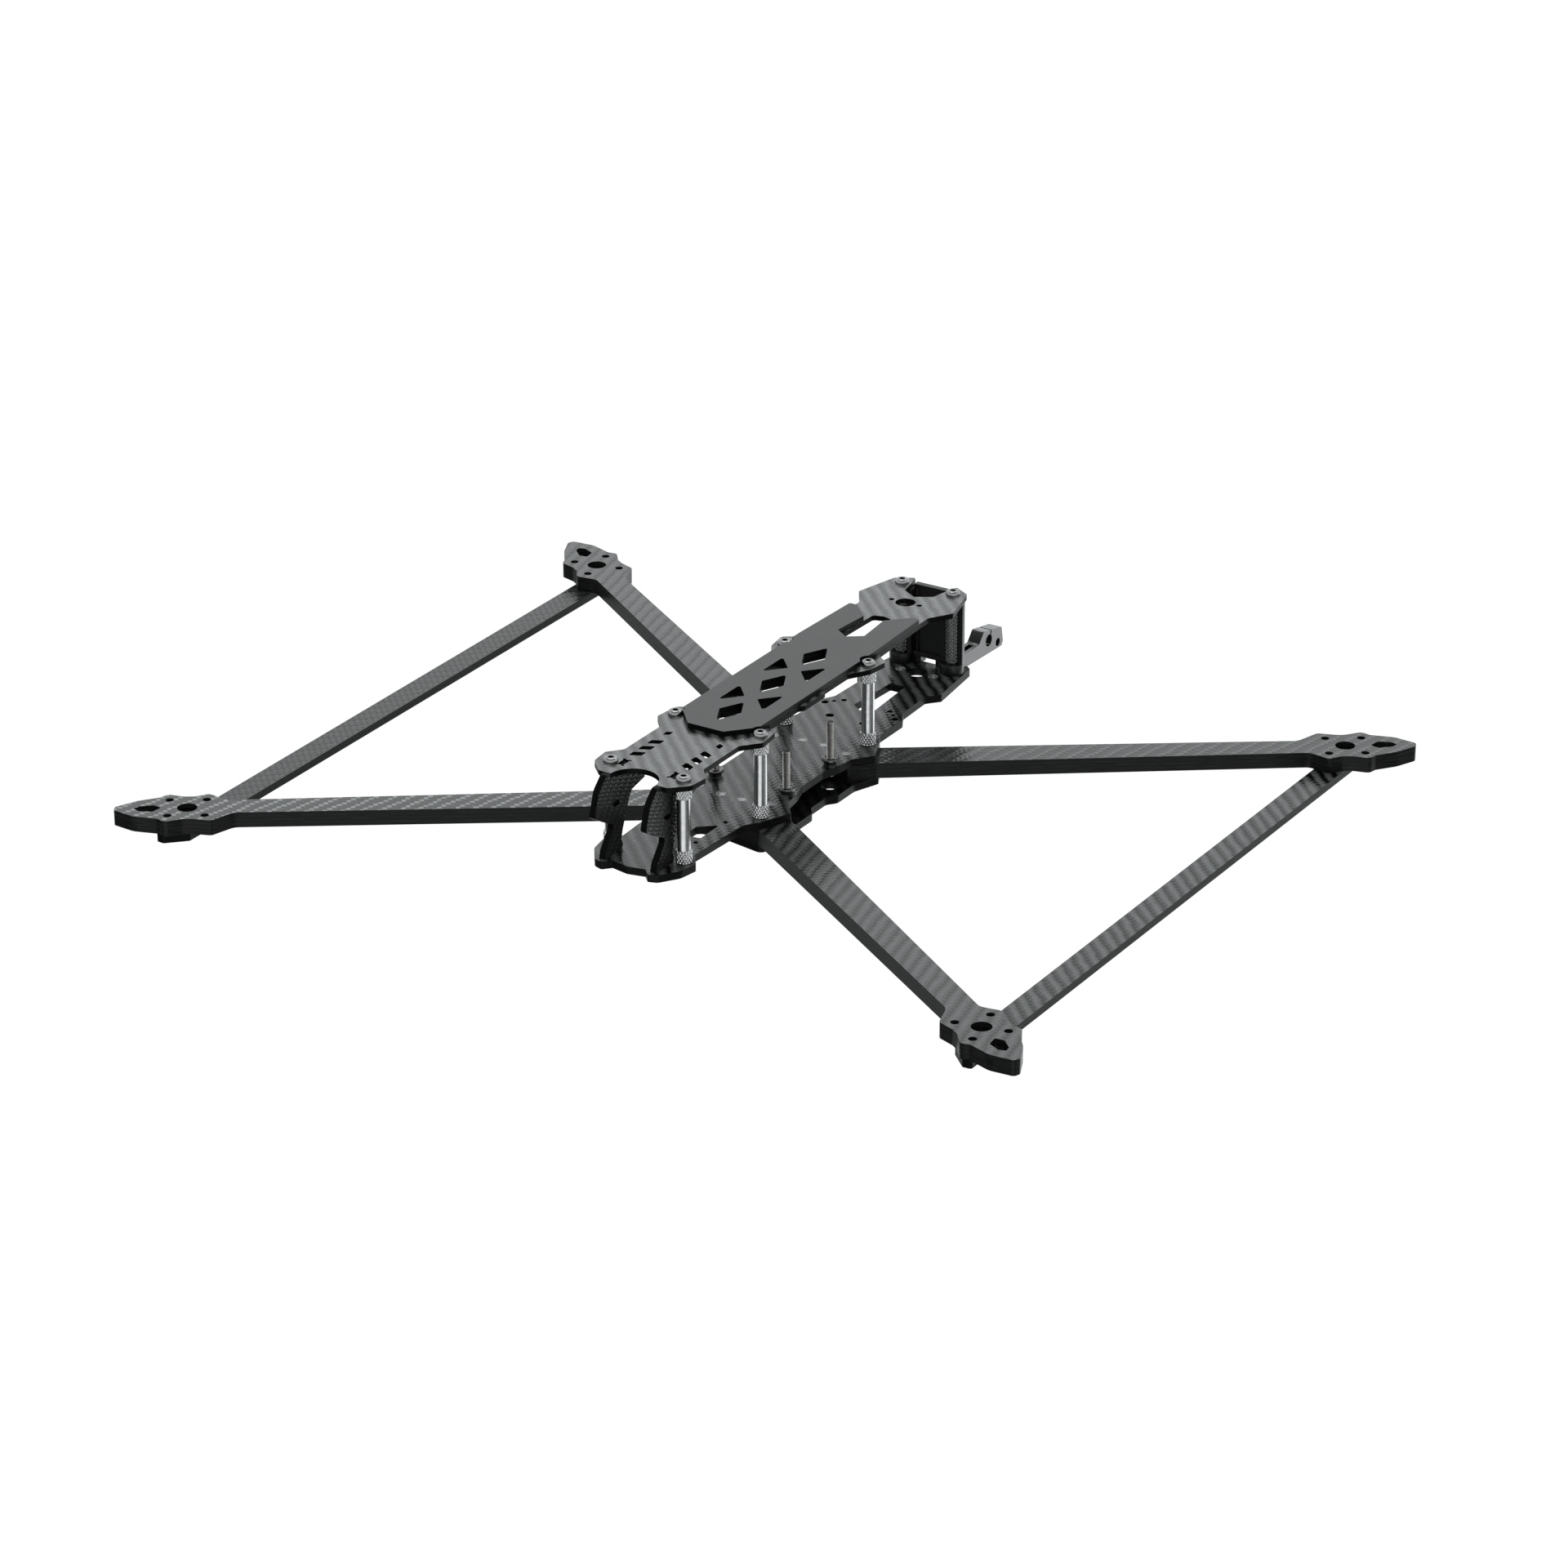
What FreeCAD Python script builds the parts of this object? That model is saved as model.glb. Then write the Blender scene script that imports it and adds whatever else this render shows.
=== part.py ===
"""Long-range quadcopter frame: carbon plates, four arms, side braces, camera cage and hardware.

Origin: centre of the footprint, on the plane the frame stands on.  Front is -Y, up is +Z.
All lengths are in millimetres.
"""
import FreeCAD, Part
import math
import os

import Sketcher
from FreeCAD import Placement, Rotation, Vector

doc = FreeCAD.newDocument("quadcopter_frame")

# ---------------------------------------------------------------- driving dimensions
DIMENSIONS = {
    # stack of plates
    "bottom_thick": 3.0,
    "arm_thick": 6.0,
    "brace_thick": 3.0,
    "mid_thick": 3.0,
    "post_length": 30.0,
    "top_thick": 2.0,
    "pad_thick": 2.0,
    # motor positions and pattern
    "motor_x": 165.76,
    "motor_y": 134.56,
    "arm_angle": 33.37,
    "motor_hole_pitch": 13.435,
    "motor_hole_radius": 1.55,
    "motor_centre_radius": 3.7,
    "brace_centre_radius": 3.0,
    # hardware positions
    "stack_pitch": 30.5,
    "front_post_x": 15.25,
    "front_post_y": 84.0,
    "mid_post_x": 18.0,
    "mid_post_y": 37.4,
    "rear_post_x": 11.15,
    "rear_post_y": 110.9,
    "inner_nut_x": 4.5,
    "inner_nut_y": 28.2,
    "outer_nut_x": 15.6,
    "outer_nut_y": 25.9,
    "rear_insert_x": 7.2,
    "rear_insert_y": 103.6,
    # hardware sizes
    "screw_radius": 1.5,
    "shank_radius": 1.48,
    "thread_root_radius": 1.2,
    "thread_bore_radius": 1.25,
    "screw_clearance": 1.6,
    "screw_engagement": 8.0,
    "head_radius": 2.75,
    "head_height": 1.65,
    "socket_radius": 1.15,
    "socket_depth": 1.0,
    "countersink_radius": 2.95,
    "sunk_head_radius": 2.85,
    "post_radius": 2.45,
    "knurl_radius": 3.0,
    "knurl_length": 5.0,
    "rear_post_radius": 2.5,
    "press_nut_radius": 1.95,
    "stack_stud_top": 28.6,
    "stack_nut_radius": 3.15,
    "stack_nut_height": 2.4,
    "stack_nut_flange": 1.3,
    "stack_hub_radius": 2.4,
    "access_radius": 3.65,
    "arm_screw_recess": 0.15,
    "key_overshoot": 0.5,
    # camera plates
    "cage_thick": 2.5,
    "cage_inner_x": 9.5,
    # rear antenna mount
    "mount_sleeve_radius": 4.6,
    "mount_bore_radius": 2.6,
    "antenna_arm_x": 8.1,
    "antenna_arm_width": 5.2,
    "antenna_radius": 2.4,
    "antenna_y": 135.0,
    "antenna_z": 16.7,
    "lug_hole_radius": 1.6,
    "lug_hole_y": 142.0,
    "lug_hole_z": 13.5,
}

sheet = doc.addObject("Spreadsheet::Sheet", "sizes")
for row, (alias, number) in enumerate(DIMENSIONS.items(), start=1):
    sheet.set(f"A{row}", alias)
    sheet.set(f"B{row}", str(number))
    sheet.setAlias(f"B{row}", alias)
doc.recompute()


def size(alias):
    """A driving dimension as a plain number."""
    return float(sheet.get(alias))


# heights of the faces between the layers
ARM_Z = size("bottom_thick")
MID_Z = ARM_Z + size("arm_thick")
DECK_Z = MID_Z + size("mid_thick")
TOP_Z = DECK_Z + size("post_length")
PAD_Z = TOP_Z + size("top_thick")

ARM_BASE = "sizes.bottom_thick"
MID_BASE = ARM_BASE + " + sizes.arm_thick"
DECK_BASE = MID_BASE + " + sizes.mid_thick"
TOP_BASE = DECK_BASE + " + sizes.post_length"
PAD_BASE = TOP_BASE + " + sizes.top_thick"

SIDES = {"left": -1, "right": 1}
ENDS = {"front": -1, "rear": 1}
CORNERS = [(sx, sy) for sy in (-1, 1) for sx in (-1, 1)]

parts = {}


# ---------------------------------------------------------------- sketch helpers
def rounded_outline(points):
    """Closed outline of lines and tangent arcs from (x, y) or (x, y, corner radius) points."""
    corners = [(Vector(p[0], p[1], 0), p[2] if len(p) > 2 else 0.0) for p in points]
    stops = []
    for i, (corner, radius) in enumerate(corners):
        before = (corners[i - 1][0] - corner).normalize()
        after = (corners[(i + 1) % len(corners)][0] - corner).normalize()
        half = before.getAngle(after) / 2
        if radius <= 0 or half > math.radians(89):
            stops.append((corner, None, corner))
            continue
        reach = radius / math.tan(half)
        centre = corner + (before + after).normalize() * (radius / math.sin(half))
        middle = centre + (corner - centre).normalize() * radius
        stops.append((corner + before * reach, middle, corner + after * reach))
    geometry = []
    for i, (start, middle, end) in enumerate(stops):
        if middle is not None:
            geometry.append(Part.Arc(start, middle, end))
        following = stops[(i + 1) % len(stops)][0]
        if (following - end).Length > 1e-6:
            geometry.append(Part.LineSegment(end, following))
    return geometry


def mirrored_x(half_points):
    """Whole outline from its +X half, listed from the front centre line to the rear one."""
    other = [(-p[0],) + tuple(p[1:]) for p in reversed(half_points) if abs(p[0]) > 1e-9]
    return list(half_points) + other


def reflect(points, sx, sy):
    """Points with the signs of x and y changed."""
    return [(p[0] * sx, p[1] * sy) + tuple(p[2:]) for p in points]


def new_sketch(body, name, plane):
    """Empty sketch on one of the body's own origin planes."""
    sketch = body.newObject("Sketcher::SketchObject", name)
    support = [f for f in body.Origin.OriginFeatures if f.Role == plane][0]
    sketch.AttachmentSupport = (support, "")
    sketch.MapMode = "FlatFace"
    return sketch


def constrain_distance(sketch, axis, geometry, value, expression, name):
    """Hold a circle's centre at a signed distance from the sketch origin along one axis."""
    if abs(value) < 1e-9:
        other_axis = -2 if axis == "X" else -1
        sketch.addConstraint(Sketcher.Constraint("PointOnObject", geometry, 3, other_axis))
        return
    ends = (-1, 1, geometry, 3) if value > 0 else (geometry, 3, -1, 1)
    index = sketch.addConstraint(Sketcher.Constraint("Distance" + axis, *ends, abs(value)))
    sketch.renameConstraint(index, name)
    if expression:
        sketch.setExpression("Constraints." + name, expression)


def add_circle(sketch, x, y, radius_cell, x_expression=None, y_expression=None):
    """Circle of a sheet radius; its centre can be held by sheet expressions too."""
    circle = Part.Circle(Vector(x, y, 0), Vector(0, 0, 1), size(radius_cell))
    geometry = sketch.addGeometry(circle)
    index = sketch.addConstraint(Sketcher.Constraint("Radius", geometry, size(radius_cell)))
    sketch.renameConstraint(index, f"radius_{geometry}")
    sketch.setExpression(f"Constraints.radius_{geometry}", "sizes." + radius_cell)
    constrain_distance(sketch, "X", geometry, x, x_expression, f"across_{geometry}")
    constrain_distance(sketch, "Y", geometry, y, y_expression, f"along_{geometry}")


def add_cell_circles(sketch, x_cell, y_cell, radius_cell, signs, scale=1.0):
    """Circles at plus and minus a pair of sheet positions."""
    for sx, sy in signs:
        x = sx * size(x_cell) * scale
        y = sy * size(y_cell) * scale
        add_circle(sketch, x, y, radius_cell, f"sizes.{x_cell} * {scale}", f"sizes.{y_cell} * {scale}")


def checked(body, feature, before):
    """Recompute and make sure that a cut really removed material."""
    doc.recompute()
    if before is not None and feature.Shape.Volume > before - 1e-3:
        raise RuntimeError(f"{body.Label}: {feature.Name} removed nothing")
    body.Tip = feature
    return feature


def pad_outline(body, outlines, thick_cell, plane="XY_Plane"):
    """Pad of one or more outlines (the inner ones are openings) to a sheet thickness."""
    sketch = new_sketch(body, "Outline_" + body.Label, plane)
    for outline in outlines:
        sketch.addGeometry(rounded_outline(outline), False)
    pad = body.newObject("PartDesign::Pad", "Plate_" + body.Label)
    pad.Profile = sketch
    pad.setExpression("Length", "sizes." + thick_cell)
    return checked(body, pad, None)


def pocket(body, sketch, name):
    """Cut a sketch right through the body in both directions."""
    doc.recompute()
    before = body.Shape.Volume
    cut = body.newObject("PartDesign::Pocket", name + "_" + body.Label)
    cut.Profile = sketch
    cut.Type = "ThroughAll"
    cut.Midplane = True
    return checked(body, cut, before)


def new_body(label, z_expression, angle=0.0):
    """PartDesign body whose height over the floor follows the sheet."""
    body = doc.addObject("PartDesign::Body", label)
    body.Label = label
    body.Placement = Placement(Vector(0, 0, 0), Rotation(Vector(0, 0, 1), angle))
    if z_expression:
        body.setExpression("Placement.Base.z", z_expression)
    parts[label] = body
    return body


# ---------------------------------------------------------------- openings shared by deck and pad
def lattice_openings():
    """Three diamonds on the centre line and four triangles between them."""
    diamond_rise, diamond_half = 9.3, 4.6
    diamond_step, corner = 29.0, 0.7
    openings = []
    for centre in (-diamond_step, 0.0, diamond_step):
        openings.append([
            (0, centre - diamond_rise, corner), (diamond_half, centre, corner),
            (0, centre + diamond_rise, corner), (-diamond_half, centre, corner),
        ])
    triangle = [(9.5, 7.4, corner), (9.5, 22.4, corner), (2.7, 14.9, corner)]
    openings += [reflect(triangle, sx, sy) for sx, sy in CORNERS]
    return openings


# ---------------------------------------------------------------- plates
def make_top_plate():
    half = [
        (0, -93), (14.4, -93, 2.5), (20.4, -87.0, 4.0), (21.2, -78.6, 1.2), (16.6, -73.2, 3.0),
        (16.6, -49.6, 3.0), (22.4, -42.6, 2.0), (21.2, -31.9, 3.0), (16.5, -29.6, 3.0),
        (16.5, -9.4, 2.0), (18.0, -7.0, 2.0), (18.0, 7.0, 2.0), (16.5, 9.4, 2.0),
        (16.5, 25.4, 3.0), (21.3, 33.2, 3.0), (22.6, 42.4, 2.0), (16.5, 46.8, 3.0),
        (15.0, 80.0), (15.0, 86.0, 3.0), (20.6, 94.8, 1.6), (18.3, 104.0, 8.0),
        (15.9, 113.4, 2.0), (8.8, 117.4, 0.8), (6.2, 104.6, 1.2), (0, 100.8),
    ]
    strap_slot = mirrored_x([(0, 52.0, 1.0), (4.8, 55.2, 0.8), (4.0, 77.6, 1.6), (0, 78.8)])
    body = new_body("top_plate", TOP_BASE)
    pad_outline(body, [mirrored_x(half)] + lattice_openings() + [strap_slot], "top_thick")

    holes = new_sketch(body, "Holes_top", "XY_Plane")
    for y_sign, prefix in ((-1, "front"), (-1, "mid"), (1, "mid"), (1, "rear")):
        signs = [(sx, y_sign) for sx in (-1, 1)]
        add_cell_circles(holes, prefix + "_post_x", prefix + "_post_y", "screw_clearance", signs)
    pocket(body, holes, "Screw_holes")

    camera_notch = (0, -93.5, 9.5)
    antenna_hole = (0, 94.6, 3.85)
    tie_hole_x, tie_hole_radius = 6.0, 1.05
    details = new_sketch(body, "Details_top", "XY_Plane")
    circles = [camera_notch, antenna_hole]
    circles += [(sx * tie_hole_x, antenna_hole[1], tie_hole_radius) for sx in (-1, 1)]
    for x, y, radius in circles:
        details.addGeometry(Part.Circle(Vector(x, y, 0), Vector(0, 0, 1), radius))
    for sx in (-1, 1):
        for slot in top_plate_slots():
            details.addGeometry(rounded_outline(reflect(slot, sx, 1)), False)
    pocket(body, details, "Slots")
    cut_corner_reliefs(body)


def rectangle_slot(x, y, width, length, angle, corner):
    """Slot centred on a point, its length turned by an angle from +Y."""
    turn = math.radians(angle)
    points = []
    for across, along in ((-1, -1), (1, -1), (1, 1), (-1, 1)):
        dx, dy = across * width / 2, along * length / 2
        points.append((x + dx * math.cos(turn) - dy * math.sin(turn),
                       y + dx * math.sin(turn) + dy * math.cos(turn), corner))
    return points


def slanted_slot(x, y, width, length, corner):
    """Parallelogram slot: ends along Y, long edges falling away from the centre line."""
    fall = width / 4
    return [(x - width / 2, y + fall - length / 2, corner), (x + width / 2, y - fall - length / 2, corner),
            (x + width / 2, y - fall + length / 2, corner), (x - width / 2, y + fall + length / 2, corner)]


CAGE_TAB = (10.75, -82.6, 2.5, 4.8)                        # x, y, width and length of its top slot


def top_plate_slots():
    """Right-hand small slots of the front deck: cage tab, three vents and a cable slot."""
    vent_x, vent_y, vent_step = 10.55, -68.0, 5.95
    vent_width, vent_length = 4.3, 3.4
    slots = [rectangle_slot(*CAGE_TAB, 0, 0.3), slanted_slot(10.9, -53.4, 2.3, 3.0, 0.4)]
    for step in (-1, 0, 1):
        slots.append(slanted_slot(vent_x, vent_y + step * vent_step, vent_width, vent_length, 0.6))
    return slots


def cut_corner_reliefs(body):
    """Round reliefs at the corners of the cage tab slots, as a router leaves them."""
    x, y, width, length = CAGE_TAB
    relief_radius = 0.55
    reliefs = new_sketch(body, "Corner_reliefs", "XY_Plane")
    for side in (-1, 1):
        for across, along in CORNERS:
            centre = Vector(side * (x + across * width / 2), y + along * length / 2, 0)
            reliefs.addGeometry(Part.Circle(centre, Vector(0, 0, 1), relief_radius))
    pocket(body, reliefs, "Reliefs")


def make_battery_pad():
    half = [
        (0, -45.6), (7.5, -45.6, 1.0), (16.4, -35.6, 2.0), (16.4, 45.0), (15.2, 79.2, 0.8),
        (12.0, 79.1, 0.6), (4.3, 71.3, 0.8), (5.7, 55.0, 0.8), (0, 51.0),
    ]
    body = new_body("battery_pad", PAD_BASE)
    pad_outline(body, [mirrored_x(half)] + lattice_openings(), "pad_thick")
    notches = new_sketch(body, "Head_notches", "XY_Plane")
    notch_radius = 3.2
    for sx, sy in CORNERS:
        centre = Vector(sx * size("mid_post_x"), sy * size("mid_post_y"), 0)
        notches.addGeometry(Part.Circle(centre, Vector(0, 0, 1), notch_radius))
    pocket(body, notches, "Notches")


def make_mid_plate():
    waist = [(17.1, 7.0), (19.4, 15.2, 3.0), (20.3, 22.3, 3.0), (25.9, 29.4, 0.6)]
    front = [
        (0, -97.7), (6.9, -96.3), (9.8, -99.4, 1.0), (13.3, -98.2, 3.0), (18.2, -91.0, 5.0),
        (19.6, -83.0, 1.2), (15.2, -77.2, 2.0), (16.8, -47.0, 3.0), (20.4, -42.2, 3.0),
    ]
    rear = [
        (20.4, 42.2, 3.0), (18.1, 46.0, 2.0), (18.1, 62.5, 1.5), (14.9, 68.4, 2.0),
        (14.3, 85.4, 2.0), (18.5, 90.3, 1.0), (15.5, 116.9, 0.8), (13.4, 118.6, 0.8),
        (8.0, 118.4, 1.0), (5.6, 114.0, 1.0), (0, 114.0),
    ]
    half = front + reflect(list(reversed(waist)), 1, -1) + waist + rear
    cable_slot = mirrored_x([(0, 61.7, 1.0), (4.7, 65.0, 0.8), (3.2, 89.5, 0.8), (0, 89.5)])
    side_window = [(3.2, -57.0, 0.6), (9.5, -51.7, 0.6), (9.6, -64.3, 0.6), (5.5, -65.0, 0.6),
                   (3.2, -61.0, 0.6)]
    cage_slots = [rectangle_slot(sx * 10.75, -92.0, 2.5, 5.0, 0, 0.3) for sx in (-1, 1)]
    windows = [side_window, reflect(side_window, -1, 1)]
    body = new_body("mid_plate", MID_BASE)
    pad_outline(body, [mirrored_x(half), cable_slot] + windows + cage_slots, "mid_thick")

    holes = new_sketch(body, "Holes_mid", "XY_Plane")
    add_cell_circles(holes, "stack_pitch", "stack_pitch", "screw_radius", CORNERS, 0.5)
    add_cell_circles(holes, "mid_post_x", "mid_post_y", "screw_clearance", CORNERS)
    add_cell_circles(holes, "front_post_x", "front_post_y", "screw_clearance", [(-1, -1), (1, -1)])
    add_cell_circles(holes, "rear_post_x", "rear_post_y", "screw_clearance", [(-1, 1), (1, 1)])
    add_cell_circles(holes, "inner_nut_x", "inner_nut_y", "press_nut_radius", CORNERS)
    add_cell_circles(holes, "outer_nut_x", "outer_nut_y", "press_nut_radius", CORNERS)
    add_cell_circles(holes, "rear_insert_x", "rear_insert_y", "press_nut_radius", [(-1, 1), (1, 1)])
    pocket(body, holes, "Screw_holes")

    antenna_hole = (0, 103.6, 4.1)
    small_holes = [(15.2, 61.6, 1.4), (12.8, 64.2, 0.85), (10.0, 66.8, 1.1), (7.3, 52.1, 1.6),
                   (10.0, -48.2, 0.9), (10.0, -68.2, 0.9)]
    details = new_sketch(body, "Details_mid", "XY_Plane")
    circles = [antenna_hole] + [(sx * x, y, r) for sx in (-1, 1) for x, y, r in small_holes]
    for x, y, radius in circles:
        details.addGeometry(Part.Circle(Vector(x, y, 0), Vector(0, 0, 1), radius))
    pocket(body, details, "Small_holes")


def make_bottom_plate():
    quarter = [(19.6, 0), (19.6, 5.2, 3.0), (22.4, 8.8, 3.0), (22.4, 20.5, 6.0), (26.4, 31.2, 0.8),
               (20.9, 42.3, 2.5), (6.0, 39.6), (0, 39.0)]
    half = reflect(list(reversed(quarter[1:])), 1, -1) + quarter[1:]
    body = new_body("bottom_plate", None)
    pad_outline(body, [mirrored_x(half)], "bottom_thick")

    access = new_sketch(body, "Access_holes", "XY_Plane")
    add_cell_circles(access, "stack_pitch", "stack_pitch", "access_radius", CORNERS, 0.5)
    pocket(body, access, "Access")

    sunk = new_sketch(body, "Sunk_holes", "XY_Plane")
    for prefix in ("mid_post", "inner_nut", "outer_nut"):
        add_cell_circles(sunk, prefix + "_x", prefix + "_y", "screw_clearance", CORNERS)
    doc.recompute()
    before = body.Shape.Volume
    hole = body.newObject("PartDesign::Hole", "Countersunk_holes")
    hole.Profile = sunk
    doc.recompute()
    hole.ThreadType = "None"
    hole.DepthType = "ThroughAll"
    hole.HoleCutType = "Countersink"
    hole.HoleCutCustomValues = True
    hole.setExpression("Diameter", "sizes.screw_clearance * 2")
    hole.setExpression("HoleCutDiameter", "sizes.countersink_radius * 2")
    hole.HoleCutCountersinkAngle = 90
    hole.Reversed = True
    checked(body, hole, before)


# ---------------------------------------------------------------- arms and braces
def arm_point(x, y):
    """Plan position of the rear right arm in the arm's own frame, centred on its motor."""
    turn = math.radians(size("arm_angle"))
    dx, dy = x - size("motor_x"), y - size("motor_y")
    return (dx * math.cos(turn) + dy * math.sin(turn), dy * math.cos(turn) - dx * math.sin(turn))


ARM_ROOT = [(26.4, 29.6, 1.0), (19.5, 20.8, 2.0), (0.15, 22.4), (0.15, 38.6), (20.4, 42.3, 3.0)]

MOTOR_PAD = [
    (-17.0, 4.70, 5.0), (-9.2, 11.4, 2.2), (-2.2, 9.75, 3.0), (1.2, 9.75, 3.0), (7.6, 12.0, 2.2),
    (10.2, 9.3, 2.5), (19.2, 7.0, 8.0), (26.6, 1.3, 1.6), (26.0, -1.4, 1.6), (18.6, -6.2, 8.0),
    (10.4, -9.0, 2.5), (7.8, -11.6, 2.2), (1.6, -9.6, 3.0), (-2.4, -9.6, 3.0), (-7.4, -11.8, 2.2),
    (-13.8, -6.1, 4.0),
]

WIRE_SLOT = [(9.4, -0.2, 0.8), (12.4, 3.3, 1.0), (17.4, 2.6, 1.0), (19.3, 0.5, 0.6),
             (17.4, -1.5, 1.0), (12.2, -2.4, 1.0)]


def make_arm(end, side):
    """One arm; its own frame has +X outwards from the motor axis."""
    sx, sy = SIDES[side], ENDS[end]
    hand = sx * sy
    angle = size("arm_angle") * sy if sx > 0 else 180 - size("arm_angle") * sy
    body = new_body(f"arm_{end}_{side}", ARM_BASE, angle)
    body.setExpression("Placement.Base.x", f"sizes.motor_x * {sx}")
    body.setExpression("Placement.Base.y", f"sizes.motor_y * {sy}")
    root = [arm_point(p[0], p[1]) + tuple(p[2:]) for p in ARM_ROOT]
    outline = reflect(MOTOR_PAD + root, 1, hand)
    pad_outline(body, [outline, reflect(WIRE_SLOT, 1, hand)], "arm_thick")

    holes = new_sketch(body, "Holes_" + body.Label, "XY_Plane")
    add_cell_circles(holes, "motor_hole_pitch", "motor_hole_pitch", "motor_hole_radius", CORNERS, 0.5)
    add_circle(holes, 0, 0, "motor_centre_radius")
    for prefix in ("mid_post", "inner_nut", "outer_nut"):
        u, v = arm_point(size(prefix + "_x"), size(prefix + "_y"))
        add_circle(holes, u, v * hand, "screw_clearance")
    pocket(body, holes, "Bores")


def make_brace(side):
    """Side brace under the front and rear arm of one side."""
    sx = SIDES[side]
    inner, outer = 159.65, 169.8
    rear = [(outer, 148.1, 1.0), (166.5, 148.4, 1.0), (inner, 141.7, 1.0)]
    outline = rear + reflect(list(reversed(rear)), 1, -1)
    body = new_body("brace_" + side, None)
    pad_outline(body, [reflect(outline, sx, 1)], "brace_thick")

    turn = math.radians(size("arm_angle"))
    offset = size("motor_hole_pitch") / 2
    holes = new_sketch(body, "Holes_" + body.Label, "XY_Plane")
    for sy in (-1, 1):
        centre_x, centre_y = size("motor_x"), size("motor_y")
        for step in (-1, 1):
            x = centre_x + step * offset * (math.cos(turn) - math.sin(turn))
            y = centre_y + step * offset * (math.sin(turn) + math.cos(turn))
            add_circle(holes, sx * x, sy * y, "motor_hole_radius")
        add_circle(holes, sx * centre_x, sy * centre_y, "brace_centre_radius",
                   "sizes.motor_x", "sizes.motor_y")
    pocket(body, holes, "Bores")


# ---------------------------------------------------------------- camera cage
def make_camera_plate(side):
    """Upright side plate between the decks; outline is listed as (y, z over the deck face)."""
    rise = size("post_length")
    top = rise + size("top_thick")
    upper_tab = top - 0.7
    tab = -size("mid_thick")
    outline = [
        (-93.05, rise), (-93.05, top, 0.3), (-95.6, top, 1.5), (-100.4, 27.6, 6.0), (-103.4, 18.2, 1.5),
        (-95.0, 13.2, 1.0), (-91.4, 11.6, 1.5), (-91.6, 9.2, 1.5), (-96.4, 3.2, 2.0), (-97.3, 0),
        (-94.5, 0), (-94.5, tab), (-89.5, tab), (-89.5, 0), (-86.2, 0), (-85.5, 1.6),
        (-86.5, 3.8, 1.0), (-85.6, 7.4, 3.0), (-81.2, 18.0, 4.0), (-79.3, 20.6, 1.5),
        (-71.0, 22.2), (-71.0, rise), (-80.3, rise), (-80.3, upper_tab), (-85.0, upper_tab), (-85.0, rise),
    ]
    camera_slot = rectangle_slot(-89.5, 19.0, 2.0, 4.2, 80, 0.9)
    body = new_body("camera_plate_" + side, DECK_BASE)
    inner = "sizes.cage_inner_x" if side == "right" else "-sizes.cage_inner_x - sizes.cage_thick"
    body.setExpression("Placement.Base.x", inner)
    pad_outline(body, [outline, camera_slot], "cage_thick", "YZ_Plane")


# ---------------------------------------------------------------- primitives and booleans
def cylinder(name, radius, height, x=0.0, y=0.0, z=None):
    """Upright cylinder; radius, height and z are sheet expressions."""
    shape = doc.addObject("Part::Cylinder", name)
    shape.Placement = Placement(Vector(x, y, 0), Rotation())
    shape.setExpression("Radius", radius)
    shape.setExpression("Height", height)
    if z:
        shape.setExpression("Placement.Base.z", z)
    return shape


def box(name, low, high):
    """Box between two corners."""
    shape = doc.addObject("Part::Box", name)
    shape.Length, shape.Width, shape.Height = (b - a for a, b in zip(low, high))
    shape.Placement = Placement(Vector(*low), Rotation())
    return shape


def fuse(name, shapes):
    joined = doc.addObject("Part::MultiFuse", name)
    joined.Shapes = shapes
    return joined


def cut(name, base, tools):
    result = doc.addObject("Part::Cut", name)
    result.Base = base
    result.Tool = tools[0] if len(tools) == 1 else fuse(name + "_tools", tools)
    return result


def hex_socket(name, z, x, y):
    """Six-sided recess for a key."""
    prism = doc.addObject("Part::Prism", name)
    prism.Polygon = 6
    prism.Placement = Placement(Vector(x, y, 0), Rotation())
    prism.setExpression("Circumradius", "sizes.socket_radius")
    prism.setExpression("Height", "sizes.socket_depth + sizes.key_overshoot")
    prism.setExpression("Placement.Base.z", z)
    return prism


def hardware_group(label, pieces):
    """One node holding separate solids of identical hardware."""
    group = doc.addObject("Part::Compound", label)
    group.Links = pieces
    group.Label = label
    parts[label] = group


def positions(x_cell, y_cell, signs, scale=1.0):
    return [(sx * size(x_cell) * scale, sy * size(y_cell) * scale) for sx, sy in signs]


def make_post(label, x, y):
    """Round standoff with a knurled band at each end and a tapped bore."""
    shaft = cylinder(label + "_shaft", "sizes.post_radius", "sizes.post_length", x, y, DECK_BASE)
    foot = cylinder(label + "_foot", "sizes.knurl_radius", "sizes.knurl_length", x, y, DECK_BASE)
    head = cylinder(label + "_head", "sizes.knurl_radius", "sizes.knurl_length", x, y,
                    TOP_BASE + " - sizes.knurl_length")
    bore = cylinder(label + "_bore", "sizes.screw_radius", "sizes.post_length", x, y, DECK_BASE)
    post = cut(label, fuse(label + "_solid", [shaft, foot, head]), [bore])
    post.Label = label
    parts[label] = post


def make_rear_post(label, x, y):
    """Rear standoff, one diameter over its whole length."""
    shaft = cylinder(label + "_shaft", "sizes.rear_post_radius", "sizes.post_length", x, y, DECK_BASE)
    bore = cylinder(label + "_bore", "sizes.screw_radius", "sizes.post_length", x, y, DECK_BASE)
    post = cut(label, shaft, [bore])
    post.Label = label
    parts[label] = post


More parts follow.
